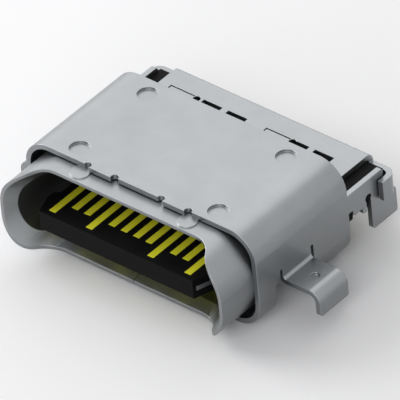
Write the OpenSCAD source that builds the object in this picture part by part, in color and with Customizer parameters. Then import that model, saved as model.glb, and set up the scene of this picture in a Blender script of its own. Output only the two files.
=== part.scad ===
// Board-mounted receptacle for a reversible 24-contact plug, in millimetres.
// X runs across the mouth, Y runs back from the foremost edge of the mouth, and Z = 0 is the
// middle plane of the tongue.

/* [Mouth tube] */
// Width of the opening that takes the plug
mouth_w = 8.34; // [8.3:0.01:8.4]
// Height of the opening that takes the plug
mouth_h = 2.56; // [2.54:0.01:2.6]
// Thickness of the tube's wall
tube_wall = 0.32; // [0.28:0.01:0.36]
// Corner radius of the tube's outside
tube_corner_r = 1.36; // [1.25:0.01:1.45]
// Length of the tube from its foremost edge
tube_len = 5.85; // [5.6:0.05:6.1]
// Distance of the straight lips behind the foremost edge
lip_setback = 0.92; // [0.6:0.02:1.0]
// Length of each straight lip
lip_w = 5.64; // [5.2:0.02:5.8]
// Width over which a lip curves forward into the cheek
cheek_blend = 1.55; // [1.4:0.01:1.6]
// Flat width left on the rim
rim_flat = 0.11; // [0.08:0.01:0.16]
// Depth of the lead-in behind the rim
lead_in_depth = 0.42; // [0.3:0.01:0.5]
// Width of the butt seam under the tube
seam_gap = 0.03; // [0.02:0.005:0.05]
// Diameter of the raised seats on top of the tube
seat_d = 0.67; // [0.5:0.01:0.8]
// Distance from the middle to each raised seat
seat_x = 2.18; // [1.9:0.02:2.3]
// Distance of the raised seats behind the foremost edge
seat_y = 1.32; // [1.28:0.01:1.45]

/* [Wings and rear legs] */
// Height of a wing's upper edge
wing_top = 0.64; // [0.6:0.01:0.68]
// Back edge of the wings
wing_back = 7.7; // [7.66:0.01:7.74]
// Height of a wing's lower edge next to the cover's side
wing_bottom = -0.06; // [-0.1:0.01:0]
// Drop of each of the two steps in a wing's lower edge
wing_step = 0.22; // [0.16:0.01:0.24]
// Distance from the cover's back edge to the first step
wing_step_y = 0.22; // [0.2:0.01:0.3]
// Distance between the two steps
wing_step_pitch = 0.44; // [0.4:0.01:0.48]
// Radius of the corners of those steps
wing_step_r = 0.07; // [0.03:0.01:0.08]
// Front edge of the rear legs
rear_leg_y = 7.05; // [7.03:0.01:7.1]
// Width of a rear leg along Y
rear_leg_w = 1.2; // [1.1:0.02:1.24]
// Height of the upper edge of a rear leg's heel
heel_top = -0.3; // [-0.36:0.01:-0.28]
// Radius of the heel's upper corner
heel_r = 0.28; // [0.2:0.01:0.3]
// Width of the slit in front of a rear leg
rear_leg_slot = 0.22; // [0.18:0.01:0.22]
// Diameter of the relief at the top of that slit
rear_relief_d = 0.3; // [0.26:0.01:0.3]
// Height of the relief's middle
rear_relief_z = -0.05; // [-0.1:0.01:0]
// Corner radius at the tips of all legs
leg_corner_r = 0.1; // [0.06:0.01:0.16]

/* [Cover] */
// Sheet thickness of the cover
cover_sheet = 0.18; // [0.15:0.01:0.22]
// Clearance between the tube's top and the cover
cover_gap = 0.04; // [0.02:0.01:0.06]
// Outer corner radius of the cover
cover_corner_r = 1.0; // [0.8:0.05:1.1]
// Front edge of the cover
cover_front = 1.54; // [1.5:0.01:1.6]
// Length of the cover
cover_len = 4.43; // [4.4:0.01:4.46]
// Diameter of the weld dimples
dimple_d = 0.68; // [0.5:0.02:0.8]
// Depth of the weld dimples
dimple_depth = 0.08; // [0.05:0.01:0.1]
// Distance between the weld dimples across the cover
dimple_span_x = 5.63; // [5.4:0.05:5.8]
// Distance between the weld dimples along the cover
dimple_span_y = 3.3; // [3.1:0.05:3.4]
// Distance of the front dimples behind the cover's front edge
dimple_inset = 0.52; // [0.45:0.01:0.6]
// Radius of the relief notches at the cover's front edge
notch_r = 0.13; // [0.08:0.01:0.16]
// Distance from the middle to the inner relief notches
notch_inner_x = 0.94; // [0.85:0.01:1.1]
// Distance between the two notches of a tab
notch_pair = 1.1; // [1.0:0.02:1.2]
// How far a tab reaches past the cover's front edge
tab_reach = 0.08; // [0.05:0.01:0.12]

/* [Mounting legs] */
// Height of the board's upper face
board_z = -0.66; // [-0.7:0.01:-0.62]
// How far the bent legs reach below the board's upper face
leg_reach = 0.7; // [0.6:0.05:0.75]
// Overall width across the two bent legs
leg_span = 12.2; // [12:0.05:12.4]
// Front edge of a bent leg
leg_y = 2.73; // [2.7:0.01:2.8]
// Width of a bent leg along Y
leg_w = 1.36; // [1.2:0.02:1.4]
// Outer radius of the bend at the leg's shoulder
leg_bend_r = 0.42; // [0.35:0.01:0.5]
// Radius of the bend at the leg's root
leg_root_r = 0.12; // [0.1:0.01:0.16]
// Width of the relief slits beside the leg's root
relief_w = 0.13; // [0.1:0.01:0.16]
// Height above the leg's shoulder that the relief slits rise to
relief_rise = 0.34; // [0.2:0.02:0.4]
// Distance from the foremost edge of the mouth to the leg's cut-out
cutout_y = 2.37; // [2.3:0.01:2.5]
// How far the cut-out reaches in under the cover from its side
cutout_reach = 1.7; // [1.5:0.05:2]
// Diameter of the small dimple on a leg's shoulder
leg_dimple_d = 0.3; // [0.2:0.02:0.4]

/* [Tongue] */
// Thickness of the tongue
tongue_t = 0.7; // [0.68:0.01:0.72]
// Full width of the tongue
tongue_w = 6.69; // [6.6:0.01:6.7]
// Width of the tongue's front edge
tongue_front_w = 6.23; // [6.1:0.01:6.3]
// Distance of the tongue's front edge behind the foremost edge of the mouth
tongue_front = 0.27; // [0.2:0.01:0.4]
// Length of the bevelled corners
tongue_bevel_len = 0.69; // [0.6:0.01:0.8]
// Distance from the tongue's front edge to the latch notches
latch_y = 0.97; // [0.9:0.01:1.05]
// Length of a latch notch
latch_len = 1.3; // [1.1:0.05:1.5]
// Depth of a latch notch
latch_depth = 0.2; // [0.15:0.01:0.22]
// Thickness of the tongue's base where the ground pads sit
base_t = 1.0; // [0.96:0.02:1.1]
// Length of the tongue's thick base
base_len = 0.7; // [0.6:0.05:0.8]
// Thickness of the wall that closes the tube
wall_t = 0.55; // [0.5:0.01:0.6]
// Clearance of the moulded wall in the tube
wall_gap = 0.01; // [0.005:0.005:0.03]

/* [Contacts] */
// Number of contacts in a row
row_count = 12; // [12:1:12]
// Distance between neighbouring contacts
pitch = 0.5; // [0.48:0.01:0.5]
// Width of a contact
contact_w = 0.25; // [0.22:0.01:0.28]
// Sheet thickness of a contact
contact_t = 0.12; // [0.1:0.01:0.15]
// Distance of the long contacts behind the tongue's front edge
contact_inset = 0.2; // [0.15:0.01:0.3]
// How much further back the short contacts start
contact_stagger = 0.5; // [0.4:0.01:0.55]
// Inner bend radius of the contact tails
tail_bend_r = 0.06; // [0.04:0.01:0.08]
// Back face of the upper row's tails
tail_a_y = 7.42; // [7.38:0.01:7.46]
// Back face of the lower row's tails
tail_b_y = 6.35; // [6.3:0.01:6.4]
// Length of the solder feet
foot_len = 0.5; // [0.4:0.01:0.52]

/* [Mid plate] */
// Sheet thickness of the mid plate
mid_sheet = 0.16; // [0.14:0.01:0.18]
// Distance of the mid plate behind the tongue's front edge
mid_inset = 0.12; // [0.1:0.01:0.2]
// Diameter of the moulding holes in the mid plate
mid_hole_d = 0.7; // [0.5:0.05:0.9]
// Distance between the mid plate's two legs, outside to outside
mid_leg_span = 7.4; // [7.2:0.05:7.5]
// Width of the mid plate's legs along Y
mid_leg_w = 0.5; // [0.4:0.05:0.6]
// Back edge of the mid plate
mid_back = 7.0; // [6.9:0.02:7.1]
// Distance between the moulding holes across the plate
mid_hole_step = 2; // [1.8:0.05:2.1]

/* [Rear block] */
// Clearance between the moulded block and each side wing
block_gap = 0.01; // [0.01:0.01:0.05]
// Height of the block's upper face
block_top = 0.49; // [0.46:0.01:0.52]
// Clearance between the block's feet and the board
standoff = 0.08; // [0.05:0.01:0.1]
// Back face of the lower moulded block
lower_back = 7.2; // [7.16:0.01:7.22]
// Back face of the comb that holds the upper row's tails
comb_back = 7.6; // [7.55:0.01:7.65]
// Length of the pocket over the lower row's feet
foot_pocket = 0.65; // [0.6:0.01:0.7]
// Height of that pocket
pocket_h = 0.13; // [0.12:0.01:0.16]

/* [Ground pads] */
// Sheet thickness of the ground pads
pad_sheet = 0.1; // [0.08:0.01:0.12]
// Width of the ground pads
pad_w = 6; // [5.6:0.05:6.2]
// Height of the ground pads' upright flange above the middle plane
pad_flange_z = 1.12; // [1:0.02:1.18]

/* [Rear shield] */
// Sheet thickness of the rear shield
shield_sheet = 0.2; // [0.16:0.01:0.21]
// Width of the shield's upper plate
shield_w = 7.84; // [7.7:0.02:7.9]
// Outer radius of the fold at the back
shield_bend_r = 0.3; // [0.25:0.01:0.35]
// Back face of the shield
shield_back = 8.13; // [8.12:0.01:8.2]
// Height of the upper edge of the shield's corners
shield_corner_z = 0.35; // [0.3:0.01:0.38]
// Outer radius of the shield's two corners
shield_corner_r = 0.4; // [0.35:0.01:0.45]
// Lower edge of the shield's corner flaps
flap_bottom = -0.37; // [-0.4:0.01:-0.3]
// Lower edge of the shield's back wall
back_bottom = -0.22; // [-0.25:0.01:-0.1]
// Clearance between the corner flaps and the wings inside them
flap_gap = 0.035; // [0.01:0.005:0.05]
// Front edge of the corner flaps
flap_front = 7.4; // [7.35:0.01:7.5]
// Back edge of the cut-outs in the upper plate
window_back = 7.2; // [7.15:0.01:7.25]
// Length of the cut-outs along Y
window_len = 0.45; // [0.35:0.01:0.5]
// Width of the slits in the upper plate
slit_w = 0.05; // [0.04:0.01:0.07]
// Length of each slit
slit_len = 1.0; // [0.9:0.02:1.04]
// Diameter of the relief hole at a slit's end
hole_d = 0.26; // [0.2:0.01:0.28]
// Gap between the cover's back edge level and the shield's front edge
shield_gap = 0.1; // [0.05:0.05:0.2]

/* [Hidden] */
CONTACTS_A = [for (i = [1:row_count]) str("contact_a", i)];
CONTACTS_B = [for (i = [1:row_count]) str("contact_b", i)];

$fn = 64;
steel = [0.65, 0.67, 0.69];
dark_steel = [0.55, 0.57, 0.6];
black = [0.05, 0.05, 0.055];
gold = [0.95, 0.85, 0.15];
// Length by which a cutting solid passes the face that it cuts
over = 1;
// How far the lead-in's slope is carried on past the rim and past the mouth's walls
lead_in_over = 0.08;
// Length of each wing that lies in the cover's side
wing_root = 0.3;

tube_hw = mouth_w / 2 + tube_wall;
tube_hh = mouth_h / 2 + tube_wall;
cover_hw = tube_hw + cover_sheet;
block_w = 2 * (tube_hw - block_gap);
cover_hh = tube_hh + cover_gap + cover_sheet;
cover_back = cover_front + cover_len;
shoulder_z = board_z + cover_sheet;
leg_hw = leg_span / 2;
leg_tip_z = board_z - leg_reach;
wall_front = tube_len - wall_t;
base_front = wall_front - base_len;
block_back = shield_back - shield_sheet;
block_bottom = board_z + standoff;
shield_top = block_top + shield_sheet;
contact_top = tongue_t / 2;
mid_front = tongue_front + mid_inset;
shield_front = tube_len + shield_gap;
flap_hw = cover_hw + flap_gap + shield_sheet;
latch_slope = 0.14;
// Inner radius of the shield's folds
fold_r = shield_bend_r - shield_sheet;
// Distances of the two rows of moulding holes behind the foremost edge
mid_hole_y = [1.9, 3.6];
// Left ends of the slits, then left end and width of each window
slit_x = [-3.5, 0.4];
windows = [[-2.15, 0.76], [-1.15, 0.78], [1.64, 0.51], [2.38, 0.77]];

// Radius of the two equal arcs that make an S of the given run and rise
function s_radius(run, rise) = (run * run + rise * rise) / (4 * rise);

cheek_r = s_radius(cheek_blend, lip_setback);

// Distance of the rim behind the foremost edge, at distance x from the middle
function rim_y(x) =
    let (d = abs(x) - lip_w / 2)
    d <= 0 ? lip_setback
    : d <= cheek_blend / 2 ? lip_setback - cheek_r + sqrt(cheek_r * cheek_r - d * d)
    : d <= cheek_blend ? cheek_r - sqrt(cheek_r * cheek_r - pow(cheek_blend - d, 2))
    : 0;

// Rectangle with round corners, centred on the origin
module round_rect(w, h, r) {
    square([w - 2 * r, h], center = true);
    square([w, h - 2 * r], center = true);
    for (sx = [-1, 1], sy = [-1, 1])
        translate([sx * (w / 2 - r), sy * (h / 2 - r)]) circle(r);
}

// Slot with full-round ends, centred on the origin
module stadium(w, h) {
    square([w - h, h], center = true);
    for (s = [-1, 1]) translate([s * (w - h) / 2, 0]) circle(h / 2);
}

// Quarter of a ring with the given outer radius, in the first quadrant
module quarter_ring(r, t) {
    intersection() {
        difference() {
            circle(r);
            circle(r - t);
        }
        square(r + over);
    }
}

// Turns a profile drawn in X and Z into a solid that runs along Y
module along_y(y0, y1) {
    translate([0, y1, 0]) rotate([90, 0, 0]) linear_extrude(y1 - y0) children();
}

// Turns a profile drawn in Y and Z into a solid that runs along X
module along_x(x0, x1) {
    translate([x0, 0, 0]) rotate([90, 0, 90]) linear_extrude(x1 - x0) children();
}

// Turns an outline drawn in X and Y into a solid that runs along Z
module along_z(z0, z1) {
    translate([0, 0, z0]) linear_extrude(z1 - z0) children();
}

module both_sides() {
    children();
    mirror([1, 0, 0]) children();
}

// ---- Mouth tube ----

// Half of the area in front of the rim, seen from above
module rim_cut_half() {
    half = lip_w / 2;
    mid = half + cheek_blend / 2;
    far = half + cheek_blend;
    translate([-over, -over]) square([half + over, lip_setback + over]);
    intersection() {
        union() {
            translate([half, lip_setback - cheek_r]) circle(cheek_r);
            translate([half, -over]) square([cheek_blend, over + lip_setback - cheek_r]);
        }
        translate([half - over, -over]) square([mid - half + over, lip_setback + 2 * over]);
    }
    difference() {
        translate([mid, -over]) square([far - mid, over + lip_setback / 2]);
        translate([far, cheek_r]) circle(cheek_r);
    }
}

// One closed ring of points on a round-cornered section, pushed back from the rim by dy
function rim_ring(hw, hh, r, dy, steps) = [
    for (q = [0:3], k = [0:steps])
        let (
            a = 90 * (q + k / steps),
            sx = q == 0 || q == 3 ? 1 : -1,
            sz = q < 2 ? 1 : -1,
            x = sx * (hw - r) + r * cos(a),
            z = sz * (hh - r) + r * sin(a))
        [x, rim_y(x) + dy, z],
];

// Cutter for the lead-in: it narrows from in front of the rim to just inside the mouth's walls
module lead_in_cutter() {
    steps = 24;
    n = 4 * (steps + 1);
    slope = (tube_wall - rim_flat) / lead_in_depth;
    front_inset = rim_flat - slope * lead_in_over;
    depth = lead_in_depth + lead_in_over;
    end_inset = tube_wall + slope * lead_in_over;
    front_r = tube_corner_r - front_inset;
    end_r = tube_hh - end_inset;
    rings = concat(
        rim_ring(tube_hw - front_inset, tube_hh - front_inset, front_r, -lead_in_over, steps),
        rim_ring(tube_hw - end_inset, end_r, end_r, depth, steps));
    points = concat(rings, [[0, -over, 0], [0, lip_setback + depth, 0]]);
    sides = [
        for (i = [0:n - 1])
            let (j = (i + 1) % n)
            for (f = [[i, j, i + n], [j, j + n, i + n]]) f
    ];
    caps = [
        for (i = [0:n - 1])
            let (j = (i + 1) % n)
            for (f = [[j, i, 2 * n], [n + i, n + j, 2 * n + 1]]) f
    ];
    polyhedron(points, concat(sides, caps), convexity = 6);
}

// One step of a wing's lower edge, rounded where it faces the mouth
module step_outline(y, z) {
    height = wing_bottom + wing_step_r - z;
    translate([y + wing_step_r, z]) square([rear_leg_y - y - wing_step_r, height]);
    translate([y, z + wing_step_r]) square([rear_leg_y - y, height - wing_step_r]);
    translate([y + wing_step_r, z + wing_step_r]) circle(wing_step_r);
}

// Wing that carries the cover's side on to the back, with the rear leg under it, in Y and Z
module wing_outline() {
    wing_start = cover_back - wing_root;
    leg_back = rear_leg_y + rear_leg_w;
    heel_z = heel_top - heel_r;
    first_step = cover_back + wing_step_y;
    difference() {
        union() {
            translate([wing_start, wing_bottom])
                square([wing_back - leg_corner_r - wing_start, wing_top - wing_bottom]);
            translate([wing_start, wing_bottom])
                square([wing_back - wing_start, wing_top - leg_corner_r - wing_bottom]);
            translate([wing_back - leg_corner_r, wing_top - leg_corner_r]) circle(leg_corner_r);
            step_outline(first_step, wing_bottom - wing_step);
            step_outline(first_step + wing_step_pitch, wing_bottom - 2 * wing_step);
            translate([rear_leg_y, heel_z])
                square([wing_back - rear_leg_y, wing_bottom + wing_step_r - heel_z]);
            translate([rear_leg_y, heel_z]) square([rear_leg_w - heel_r, heel_r]);
            translate([leg_back - heel_r, heel_z]) circle(heel_r);
            translate([rear_leg_y, heel_z - heel_r]) square([rear_leg_w, heel_r]);
            translate([(rear_leg_y + leg_back) / 2, (leg_tip_z + heel_z) / 2])
                round_rect(rear_leg_w, heel_z - leg_tip_z, leg_corner_r);
        }
        translate([rear_leg_y - rear_leg_slot, leg_tip_z - over])
            square([rear_leg_slot, rear_relief_z - leg_tip_z + over]);
        translate([rear_leg_y - rear_leg_slot / 2, rear_relief_z]) circle(d = rear_relief_d);
    }
}

module inner_shell() {
    color(steel) difference() {
        union() {
            along_y(0, tube_len) round_rect(2 * tube_hw, 2 * tube_hh, tube_corner_r);
            for (s = [-1, 1])
                translate([s * seat_x, seat_y, 0]) cylinder(d = seat_d, h = tube_hh + cover_gap);
        }
        along_y(-over, tube_len) stadium(mouth_w, mouth_h);
        along_z(-tube_hh - over, tube_hh + over) both_sides() rim_cut_half();
        lead_in_cutter();
        translate([-seam_gap / 2, -over, -tube_hh - over])
            cube([seam_gap, tube_len + 2 * over, tube_hh]);
    }
}

// ---- Cover ----

module cover_section(inset) {
    round_rect(2 * (cover_hw - inset), 2 * (cover_hh - inset), cover_corner_r - inset);
}

// Upright side, shoulder and pin of a bent leg, in X and Z
module leg_profile() {
    root_x = cover_hw + leg_root_r;
    bend_x = leg_hw - leg_bend_r;
    root_z = shoulder_z + leg_root_r;
    bend_z = shoulder_z - leg_bend_r;
    translate([cover_hw - cover_sheet, root_z]) square([cover_sheet, relief_rise]);
    translate([root_x, root_z]) rotate(180) quarter_ring(leg_root_r + cover_sheet, cover_sheet);
    translate([root_x, board_z]) square([bend_x - root_x, cover_sheet]);
    translate([bend_x, bend_z]) quarter_ring(leg_bend_r, cover_sheet);
    translate([leg_hw - cover_sheet, leg_tip_z]) square([cover_sheet, bend_z - leg_tip_z]);
}

module bent_leg() {
    difference() {
        intersection() {
            along_y(leg_y, leg_y + leg_w) leg_profile();
            along_x(0, leg_hw + over)
                translate([leg_y + leg_w / 2, 0]) round_rect(leg_w, -2 * leg_tip_z, leg_corner_r);
        }
        translate([(cover_hw + leg_hw) / 2, leg_y + leg_w / 2, shoulder_z - dimple_depth])
            cylinder(d = leg_dimple_d, h = over);
    }
}

// Opening in the cover's side from which the leg's blank is bent out, in Y and Z
module leg_cutout() {
    back = leg_y + leg_w + relief_w;
    low = -cover_hh - over;
    slit_top = shoulder_z + relief_rise;
    translate([cutout_y, low]) square([back - cutout_y, shoulder_z - low]);
    for (y = [leg_y - relief_w, leg_y + leg_w]) {
        translate([y, low]) square([relief_w, slit_top - low]);
        translate([y + relief_w / 2, slit_top]) circle(relief_w / 2);
    }
    translate([leg_y, low]) square([leg_w, shoulder_z + leg_root_r - low]);
}

module at_dimples() {
    for (sx = [-1, 1], iy = [0, 1])
        translate([sx * dimple_span_x / 2, cover_front + dimple_inset + iy * dimple_span_y, 0]) children();
}

module outer_shell() {
    color(steel) union() {
        difference() {
            union() {
                along_y(cover_front, cover_back) cover_section(0);
                both_sides() translate([notch_inner_x, cover_front - tab_reach, 0])
                    cube([notch_pair, over, cover_hh]);
            }
            along_y(cover_front - over, cover_back + over) cover_section(cover_sheet);
            for (s = [-1, 1], x = [notch_inner_x, notch_inner_x + notch_pair])
                translate([s * x, cover_front, 0]) cylinder(r = notch_r, h = cover_hh + over);
            both_sides() along_x(cover_hw - cutout_reach, cover_hw + over) leg_cutout();
            at_dimples() translate([0, 0, cover_hh - dimple_depth]) cylinder(d = dimple_d, h = over);
            translate([-seam_gap / 2, cover_front - over, -cover_hh - over])
                cube([seam_gap, cover_len + 2 * over, cover_hh]);
        }
        at_dimples() translate([0, 0, tube_hh])
            cylinder(d = dimple_d, h = cover_hh - dimple_depth - tube_hh);
        both_sides() bent_leg();
        both_sides() along_x(tube_hw, cover_hw) wing_outline();
    }
}

// ---- Rear shield ----

// Upper plate folded down into the back wall, in Y and Z
module shield_profile() {
    bend_y = shield_back - shield_bend_r;
    bend_z = shield_top - shield_bend_r;
    translate([shield_front, block_top]) square([bend_y - shield_front, shield_sheet]);
    translate([bend_y, bend_z]) quarter_ring(shield_bend_r, shield_sheet);
    translate([block_back, back_bottom]) square([shield_sheet, bend_z - back_bottom]);
}

// Back wall folded forward round the block's corner, in X and Y
module flap_outline() {
    bend_x = flap_hw - shield_corner_r;
    bend_y = shield_back - shield_corner_r;
    translate([0, block_back]) square([bend_x, shield_sheet]);
    translate([bend_x, bend_y]) quarter_ring(shield_corner_r, shield_sheet);
    translate([flap_hw - shield_sheet, flap_front]) square([shield_sheet, bend_y - flap_front]);
}

// Slits, holes and windows in the upper plate
module shield_cutouts() {
    for (x = slit_x) {
        translate([x, window_back - slit_w]) square([slit_len, slit_w]);
        translate([x, window_back - window_len]) square([slit_w, window_len]);
        translate([x + slit_len + hole_d / 2, window_back - hole_d / 2 + slit_w / 2]) circle(d = hole_d);
    }
    for (w = windows) translate([w[0], window_back - window_len]) square([w[1], window_len]);
}

module rear_shield() {
    color(steel) difference() {
        union() {
            along_x(-shield_w / 2, shield_w / 2) shield_profile();
            both_sides() along_z(back_bottom, shield_corner_z) flap_outline();
            both_sides() along_z(flap_bottom, back_bottom) intersection() {
                flap_outline();
                translate([flap_hw - shield_sheet, 0]) square([over, shield_back + over]);
            }
        }
        along_z(block_top - over, shield_top + over) shield_cutouts();
    }
}

// ---- Mid plate and ground pads ----

// Outline of the tongue from its front edge back to y_end, seen from above
module tongue_outline(y_end) {
    full = tongue_w / 2;
    narrow = full - latch_depth;
    bevel_end = tongue_front + tongue_bevel_len;
    latch_front = tongue_front + latch_y;
    latch_back = latch_front + latch_len;
    half = [
        [tongue_front_w / 2, tongue_front],
        [full, bevel_end],
        [full, latch_front],
        [narrow, latch_front + latch_slope],
        [narrow, latch_back - latch_slope],
        [full, latch_back],
        [full, y_end],
    ];
    polygon(concat(half, [for (i = [len(half) - 1:-1:0]) [-half[i][0], half[i][1]]]));
}

// Rear edge of the plate folded down into a leg, in X and Z
module mid_leg_profile() {
    hw = mid_leg_span / 2;
    bend_r = 2 * mid_sheet;
    translate([0, -mid_sheet / 2]) square([hw - bend_r, mid_sheet]);
    translate([hw - bend_r, mid_sheet / 2 - bend_r]) quarter_ring(bend_r, mid_sheet);
    translate([hw - mid_sheet, leg_tip_z]) square([mid_sheet, mid_sheet / 2 - bend_r - leg_tip_z]);
}

module mid_plate() {
    color(dark_steel) union() {
        along_z(-mid_sheet / 2, mid_sheet / 2) difference() {
            intersection() {
                tongue_outline(mid_back);
                translate([-tongue_w, mid_front]) square([2 * tongue_w, mid_back]);
            }
            for (x = [-1:1], y = mid_hole_y) translate([x * mid_hole_step, y]) circle(d = mid_hole_d);
        }
        both_sides() along_y(mid_back - mid_leg_w, mid_back) mid_leg_profile();
    }
}

// Plate on the tongue's base with a flange up the wall, in Y and Z
module pad_profile() {
    bend_r = 1.5 * pad_sheet;
    bend_y = wall_front - bend_r;
    top = base_t / 2;
    translate([base_front, top]) square([bend_y - base_front, pad_sheet]);
    translate([bend_y, top + bend_r]) rotate(-90) quarter_ring(bend_r, pad_sheet);
    translate([wall_front - pad_sheet, top + bend_r]) square([pad_sheet, pad_flange_z - top - bend_r]);
}

module ground_pad() {
    color(steel) along_x(-pad_w / 2, pad_w / 2) pad_profile();
}

module ground_pad_top() {
    ground_pad();
}

module ground_pad_bottom() {
    mirror([0, 0, 1]) ground_pad();
}

// ---- Contacts ----

// Pad, buried run, bent tail and solder foot, in Y and Z
module contact_profile(start, low, tail_y) {
    outer_r = tail_bend_r + contact_t;
    foot_z = board_z + contact_t + tail_bend_r;
    translate([start, low]) square([tail_y - outer_r - start, contact_t]);
    translate([tail_y - outer_r, low - tail_bend_r]) quarter_ring(outer_r, contact_t);
    translate([tail_y - contact_t, foot_z]) square([contact_t, low - tail_bend_r - foot_z]);
    translate([tail_y + tail_bend_r, foot_z]) rotate(180) quarter_ring(outer_r, contact_t);
    translate([tail_y + tail_bend_r, board_z]) square([foot_len, contact_t]);
}

// The outermost contacts and one a third of the way in from each end are the long ones
function is_long(i) =
    let (from_end = min(i, row_count + 1 - i))
    from_end == 1 || from_end == round(row_count / 3);

function contact_start(i) = tongue_front + contact_inset + (is_long(i) ? 0 : contact_stagger);

module contact(i, low, tail_y) {
    x = (i - (row_count + 1) / 2) * pitch;
    color(gold) along_x(x - contact_w / 2, x + contact_w / 2)
        contact_profile(contact_start(i), low, tail_y);
}

module contact_a(i) {
    contact(i, contact_top - contact_t, tail_a_y);
}

module contact_b(i) {
    contact(i, -contact_top, tail_b_y);
}

module all_contacts() {
    for (i = [1:row_count]) {
        contact_a(i);
        contact_b(i);
    }
}

// ---- Mouldings ----

module tongue() {
    color(black) difference() {
        union() {
            along_z(-contact_top, contact_top) tongue_outline(wall_front);
            along_z(-base_t / 2, base_t / 2)
                translate([-tongue_w / 2, base_front]) square([tongue_w, base_len]);
            along_y(wall_front, tube_len) stadium(mouth_w - 2 * wall_gap, mouth_h - 2 * wall_gap);
        }
        mid_plate();
        all_contacts();
    }
}

module upper_carrier() {
    color(black) difference() {
        along_x(-block_w / 2, block_w / 2) {
            polygon([
                [tube_len, 0],
                [block_back, 0],
                [block_back, block_top - fold_r],
                [block_back - fold_r, block_top],
                [tube_len, block_top],
            ]);
            translate([lower_back, block_bottom]) square([comb_back - lower_back, -block_bottom]);
            translate([lower_back, back_bottom]) square([block_back - lower_back, -back_bottom]);
        }
        mid_plate();
        all_contacts();
    }
}

module lower_carrier() {
    color(black) difference() {
        along_x(-block_w / 2, block_w / 2) difference() {
            translate([tube_len, block_bottom]) square([lower_back - tube_len, -block_bottom]);
            translate([tail_b_y, block_bottom - over]) square([foot_pocket, over + pocket_h]);
        }
        mid_plate();
        all_contacts();
    }
}

inner_shell();
outer_shell();
rear_shield();
tongue();
upper_carrier();
lower_carrier();
mid_plate();
ground_pad_top();
ground_pad_bottom();
for (i = [1:row_count]) contact_a(i);
for (i = [1:row_count]) contact_b(i);
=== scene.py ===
import math

import bpy
from mathutils import Matrix, Vector


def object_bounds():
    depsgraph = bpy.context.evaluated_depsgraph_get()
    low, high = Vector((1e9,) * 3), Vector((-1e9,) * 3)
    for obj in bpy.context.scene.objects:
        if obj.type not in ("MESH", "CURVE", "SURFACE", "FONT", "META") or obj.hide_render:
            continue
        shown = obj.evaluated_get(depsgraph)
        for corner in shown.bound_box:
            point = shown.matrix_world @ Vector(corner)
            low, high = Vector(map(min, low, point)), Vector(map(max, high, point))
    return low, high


MM = 0.001
AZIMUTH, ELEVATION, ROLL = 43.36, 38.03, 5.7  # degrees
VIEW_WIDTH = 12.46 * MM  # what the picture spans at the target
TARGET = Vector((0.408, 3.849, 0.0)) * MM
LENS = 1200.0
SENSOR = 36.0

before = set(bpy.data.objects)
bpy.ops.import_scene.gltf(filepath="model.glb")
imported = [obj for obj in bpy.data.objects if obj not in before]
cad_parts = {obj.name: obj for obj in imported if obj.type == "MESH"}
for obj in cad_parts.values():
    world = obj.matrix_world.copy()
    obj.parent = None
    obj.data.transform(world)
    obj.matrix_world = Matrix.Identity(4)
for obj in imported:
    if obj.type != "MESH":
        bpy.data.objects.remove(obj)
cad_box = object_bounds()


# ---------------------------------------------------------------- node helpers
def new_material(name):
    m = bpy.data.materials.new(name)
    m.use_nodes = True
    m.node_tree.nodes.clear()
    return m, m.node_tree.nodes, m.node_tree.links


def add(nodes, kind, **values):
    """A node with its plain properties and its sockets' values set."""
    n = nodes.new(kind)
    for key, value in values.items():
        if key in n.inputs:
            n.inputs[key].default_value = value
        else:
            setattr(n, key, value)
    return n


def ramp(nodes, stops):
    n = nodes.new("ShaderNodeValToRGB")
    e = n.color_ramp.elements
    while len(e) < len(stops):
        e.new(0.5)
    for slot, (place, value) in zip(e, stops):
        slot.position = place
        slot.color = value if len(value) == 4 else (*value, 1.0)
    return n


def grey(v):
    return (v, v, v)


def mm_place(nodes, links, stretch):
    """Object coordinates in millimetres, squeezed by stretch along each axis."""
    coords = nodes.new("ShaderNodeTexCoord")
    mapping = nodes.new("ShaderNodeMapping")
    mapping.inputs["Scale"].default_value = [1000.0 * s for s in stretch]
    links.new(coords.outputs["Object"], mapping.inputs["Vector"])
    return mapping.outputs["Vector"]


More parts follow.
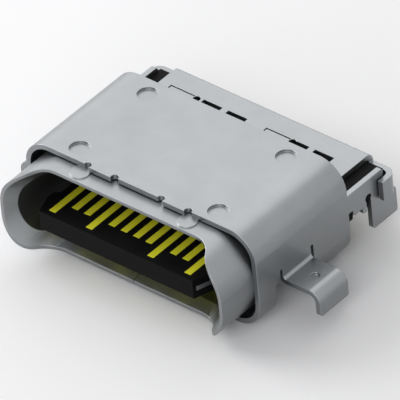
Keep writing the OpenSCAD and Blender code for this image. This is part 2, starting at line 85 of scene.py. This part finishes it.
# ------------------------------------------------------------------- materials
def steel(name, colour, rough=0.42, stretch=(0.35, 6.0, 6.0)):
    """Plated sheet steel: rolling grain along one axis, cloudy plating, and a painted highlight that lightens the
    colour along every sharp edge.
    """
    m, nodes, links = new_material(name)
    out = nodes.new("ShaderNodeOutputMaterial")
    shader = add(nodes, "ShaderNodeBsdfPrincipled", Metallic=1.0)
    links.new(shader.outputs["BSDF"], out.inputs["Surface"])

    grain_at = mm_place(nodes, links, stretch)
    grain = add(nodes, "ShaderNodeTexNoise", Scale=5.0, Detail=4.0, Roughness=0.62)
    links.new(grain_at, grain.inputs["Vector"])
    even_at = mm_place(nodes, links, (1.0, 1.0, 1.0))
    cloud = add(nodes, "ShaderNodeTexNoise", Scale=0.9, Detail=3.0, Roughness=0.55)
    links.new(even_at, cloud.inputs["Vector"])
    pores = add(nodes, "ShaderNodeTexNoise", Scale=28.0, Detail=2.0, Roughness=0.5)
    links.new(even_at, pores.inputs["Vector"])

    # colour: plating a little lighter and darker in clouds and along the grain
    low = [c * 0.93 for c in colour]
    high = [min(1.0, c * 1.06) for c in colour]
    tone = ramp(nodes, [(0.3, low), (0.7, high)])
    blend = add(nodes, "ShaderNodeMix", data_type="FLOAT")
    blend.inputs[0].default_value = 0.4
    links.new(cloud.outputs["Fac"], blend.inputs[2])
    links.new(grain.outputs["Fac"], blend.inputs[3])
    links.new(blend.outputs[0], tone.inputs["Fac"])

    # painted edge highlight: the base colour is made lighter along sharp and bent edges
    round_edge = add(nodes, "ShaderNodeBevel", samples=6, Radius=0.035 * MM)
    true_face = nodes.new("ShaderNodeNewGeometry")
    turn = add(nodes, "ShaderNodeVectorMath", operation="DOT_PRODUCT")
    links.new(round_edge.outputs["Normal"], turn.inputs[0])
    links.new(true_face.outputs["Normal"], turn.inputs[1])
    edge_highlight_mask = ramp(nodes, [(0.80, grey(1.0)), (0.995, grey(0.0))])
    links.new(turn.outputs["Value"], edge_highlight_mask.inputs["Fac"])
    edge_highlight = add(nodes, "ShaderNodeMix", data_type="RGBA")
    # colour of the painted edge highlight: the base colour times 1.35
    edge_highlight.inputs[7].default_value = (*[min(1.0, c * 1.35) for c in colour], 1.0)
    links.new(edge_highlight_mask.outputs["Color"], edge_highlight.inputs[0])
    links.new(tone.outputs["Color"], edge_highlight.inputs[6])
    links.new(edge_highlight.outputs[2], shader.inputs["Base Color"])

    # gloss follows the grain
    gloss = add(nodes, "ShaderNodeMapRange")
    gloss.inputs["From Min"].default_value = 0.3
    gloss.inputs["From Max"].default_value = 0.7
    gloss.inputs["To Min"].default_value = rough - 0.05
    gloss.inputs["To Max"].default_value = rough + 0.06
    links.new(grain.outputs["Fac"], gloss.inputs["Value"])
    links.new(gloss.outputs["Result"], shader.inputs["Roughness"])

    fine = add(nodes, "ShaderNodeBump", Strength=0.10, Distance=0.004 * MM)
    links.new(pores.outputs["Fac"], fine.inputs["Height"])
    links.new(round_edge.outputs["Normal"], fine.inputs["Normal"])
    lines = add(nodes, "ShaderNodeBump", Strength=0.14, Distance=0.006 * MM)
    links.new(grain.outputs["Fac"], lines.inputs["Height"])
    links.new(fine.outputs["Normal"], lines.inputs["Normal"])
    links.new(lines.outputs["Normal"], shader.inputs["Normal"])
    return m


def plastic(name):
    """Black glass-filled polymer with the fine spark-eroded texture of its mould."""
    m, nodes, links = new_material(name)
    out = nodes.new("ShaderNodeOutputMaterial")
    shader = add(nodes, "ShaderNodeBsdfPrincipled", Metallic=0.0, IOR=1.5)
    shader.inputs["Specular IOR Level"].default_value = 0.08
    links.new(shader.outputs["BSDF"], out.inputs["Surface"])
    at = mm_place(nodes, links, (1.0, 1.0, 1.0))
    mottle = add(nodes, "ShaderNodeTexNoise", Scale=2.2, Detail=4.0, Roughness=0.6)
    links.new(at, mottle.inputs["Vector"])
    tone = ramp(nodes, [(0.3, (0.0012, 0.0012, 0.0013)), (0.7, (0.003, 0.003, 0.0032))])
    links.new(mottle.outputs["Fac"], tone.inputs["Fac"])
    links.new(tone.outputs["Color"], shader.inputs["Base Color"])
    gloss = add(nodes, "ShaderNodeMapRange")
    gloss.inputs["To Min"].default_value = 0.5
    gloss.inputs["To Max"].default_value = 0.66
    links.new(mottle.outputs["Fac"], gloss.inputs["Value"])
    links.new(gloss.outputs["Result"], shader.inputs["Roughness"])
    spark = add(nodes, "ShaderNodeTexNoise", Scale=22.0, Detail=3.0, Roughness=0.6)
    links.new(at, spark.inputs["Vector"])
    round_edge = add(nodes, "ShaderNodeBevel", samples=4, Radius=0.03 * MM)
    bump = add(nodes, "ShaderNodeBump", Strength=0.2, Distance=0.006 * MM)
    links.new(spark.outputs["Fac"], bump.inputs["Height"])
    links.new(round_edge.outputs["Normal"], bump.inputs["Normal"])
    links.new(bump.outputs["Normal"], shader.inputs["Normal"])
    return m


def gold(name):
    """Gold-plated contact strip: bright yellow, wiped lines along the blade."""
    m, nodes, links = new_material(name)
    out = nodes.new("ShaderNodeOutputMaterial")
    shader = add(nodes, "ShaderNodeBsdfPrincipled", Metallic=0.35)
    links.new(shader.outputs["BSDF"], out.inputs["Surface"])
    wiped_at = mm_place(nodes, links, (9.0, 0.5, 2.0))
    wiped = add(nodes, "ShaderNodeTexNoise", Scale=5.0, Detail=3.0, Roughness=0.6)
    links.new(wiped_at, wiped.inputs["Vector"])
    tone = ramp(nodes, [(0.3, (0.96, 0.90, 0.03)), (0.7, (1.0, 0.98, 0.05))])
    links.new(wiped.outputs["Fac"], tone.inputs["Fac"])
    links.new(tone.outputs["Color"], shader.inputs["Base Color"])
    gloss = add(nodes, "ShaderNodeMapRange")
    gloss.inputs["To Min"].default_value = 0.26
    gloss.inputs["To Max"].default_value = 0.42
    links.new(wiped.outputs["Fac"], gloss.inputs["Value"])
    links.new(gloss.outputs["Result"], shader.inputs["Roughness"])
    round_edge = add(nodes, "ShaderNodeBevel", samples=4, Radius=0.02 * MM)
    bump = add(nodes, "ShaderNodeBump", Strength=0.12, Distance=0.004 * MM)
    links.new(wiped.outputs["Fac"], bump.inputs["Height"])
    links.new(round_edge.outputs["Normal"], bump.inputs["Normal"])
    links.new(bump.outputs["Normal"], shader.inputs["Normal"])
    return m


TUBE = (0.285, 0.297, 0.306)
looks = {
    "tube_steel": steel("tube_steel_look", TUBE, 0.35, (0.35, 6.0, 6.0)),
    "cover_steel": steel("cover_steel_look", TUBE, 0.36, (6.0, 0.35, 6.0)),
    "shield_steel": steel("shield_steel_look", TUBE, 0.36, (0.35, 6.0, 6.0)),
    "plate_steel": steel("plate_steel_look", (0.26, 0.27, 0.285), 0.40, (6.0, 0.35, 6.0)),
    "pad_steel": steel("pad_steel_look", (0.28, 0.295, 0.305), 0.38, (0.35, 6.0, 6.0)),
    "black_plastic": plastic("black_plastic_look"),
    "contact_gold": gold("contact_gold_look"),
}
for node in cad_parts.values():
    for material_slot in node.material_slots:
        plain = material_slot.material.name.split(".")[0]
        material_slot.material = looks[plain]


# ----------------------------------------------------------------------- stage
def floor_at(height):
    m, nodes, links = new_material("floor_look")
    out = nodes.new("ShaderNodeOutputMaterial")
    paper = add(nodes, "ShaderNodeBsdfDiffuse", Color=(0.975, 0.975, 0.985, 1.0))
    under = nodes.new("ShaderNodeBsdfTransparent")
    side = nodes.new("ShaderNodeNewGeometry")
    pick = nodes.new("ShaderNodeMixShader")
    links.new(side.outputs["Backfacing"], pick.inputs["Fac"])
    links.new(paper.outputs["BSDF"], pick.inputs[1])
    links.new(under.outputs["BSDF"], pick.inputs[2])
    links.new(pick.outputs["Shader"], out.inputs["Surface"])
    half = 400 * MM
    mesh = bpy.data.meshes.new("floor")
    corners = [(-half, -half, height), (half, -half, height), (half, half, height), (-half, half, height)]
    mesh.from_pydata(corners, [], [(0, 1, 2, 3)])
    floor = bpy.data.objects.new("floor", mesh)
    bpy.context.scene.collection.objects.link(floor)
    mesh.materials.append(m)
    return floor


def softbox(name, toward, distance, size, radiance):
    """A square lamp that looks back at the object, with the brightness that its face shows."""
    side = size * MM
    lamp = bpy.data.lights.new(name, "AREA")
    lamp.shape = "SQUARE"
    lamp.size = side
    lamp.energy = radiance * math.pi * side * side
    o = bpy.data.objects.new(name, lamp)
    way = Vector(toward).normalized()
    o.location = TARGET + way * distance * MM
    o.rotation_mode = "QUATERNION"
    o.rotation_quaternion = way.to_track_quat("Z", "Y")
    bpy.context.scene.collection.objects.link(o)
    return o


floor_at(cad_box[0].z)
softbox("key", (-0.88, -0.26, 0.46), 110, 70, 4.6)
softbox("top", (-0.54, 0.572, 0.616), 90, 120, 0.85)
softbox("front", (0.30, -0.78, 0.50), 110, 80, 1.9)

world = bpy.data.worlds.new("studio")
bpy.context.scene.world = world
world.use_nodes = True
wn, wl = world.node_tree.nodes, world.node_tree.links
wn.clear()
w_out = wn.new("ShaderNodeOutputWorld")
air = add(wn, "ShaderNodeBackground", Color=(1.0, 1.0, 1.0, 1.0), Strength=0.36)
backdrop = add(wn, "ShaderNodeBackground", Color=(1.0, 1.0, 1.0, 1.0), Strength=1.0)
path = wn.new("ShaderNodeLightPath")
first = add(wn, "ShaderNodeMath", operation="MAXIMUM")
second = add(wn, "ShaderNodeMath", operation="MAXIMUM")
wl.new(path.outputs["Is Camera Ray"], first.inputs[0])
wl.new(path.outputs["Is Glossy Ray"], first.inputs[1])
wl.new(first.outputs["Value"], second.inputs[0])
wl.new(path.outputs["Is Transmission Ray"], second.inputs[1])
w_mix = wn.new("ShaderNodeMixShader")
wl.new(second.outputs["Value"], w_mix.inputs["Fac"])
wl.new(air.outputs["Background"], w_mix.inputs[1])
wl.new(backdrop.outputs["Background"], w_mix.inputs[2])
wl.new(w_mix.outputs["Shader"], w_out.inputs["Surface"])

# ---------------------------------------------------------------------- camera
a, e, r = (math.radians(v) for v in (AZIMUTH, ELEVATION, ROLL))
back = Vector((math.sin(a) * math.cos(e), -math.cos(a) * math.cos(e), math.sin(e)))
level = Vector((math.cos(a), math.sin(a), 0.0))
upright = back.cross(level)
right = level * math.cos(r) - upright * math.sin(r)
up = level * math.sin(r) + upright * math.cos(r)
camera_data = bpy.data.cameras.new("camera")
camera_data.lens = LENS
camera_data.sensor_width = SENSOR
distance = VIEW_WIDTH * LENS / SENSOR
camera_data.clip_start = distance * 0.1
camera_data.clip_end = distance * 10
camera = bpy.data.objects.new("camera", camera_data)
camera.matrix_world = Matrix.Translation(TARGET + back * distance) @ Matrix((right, up, back)).transposed().to_4x4()
bpy.context.scene.collection.objects.link(camera)
bpy.context.scene.camera = camera

bpy.context.scene.view_settings.view_transform = "Standard"
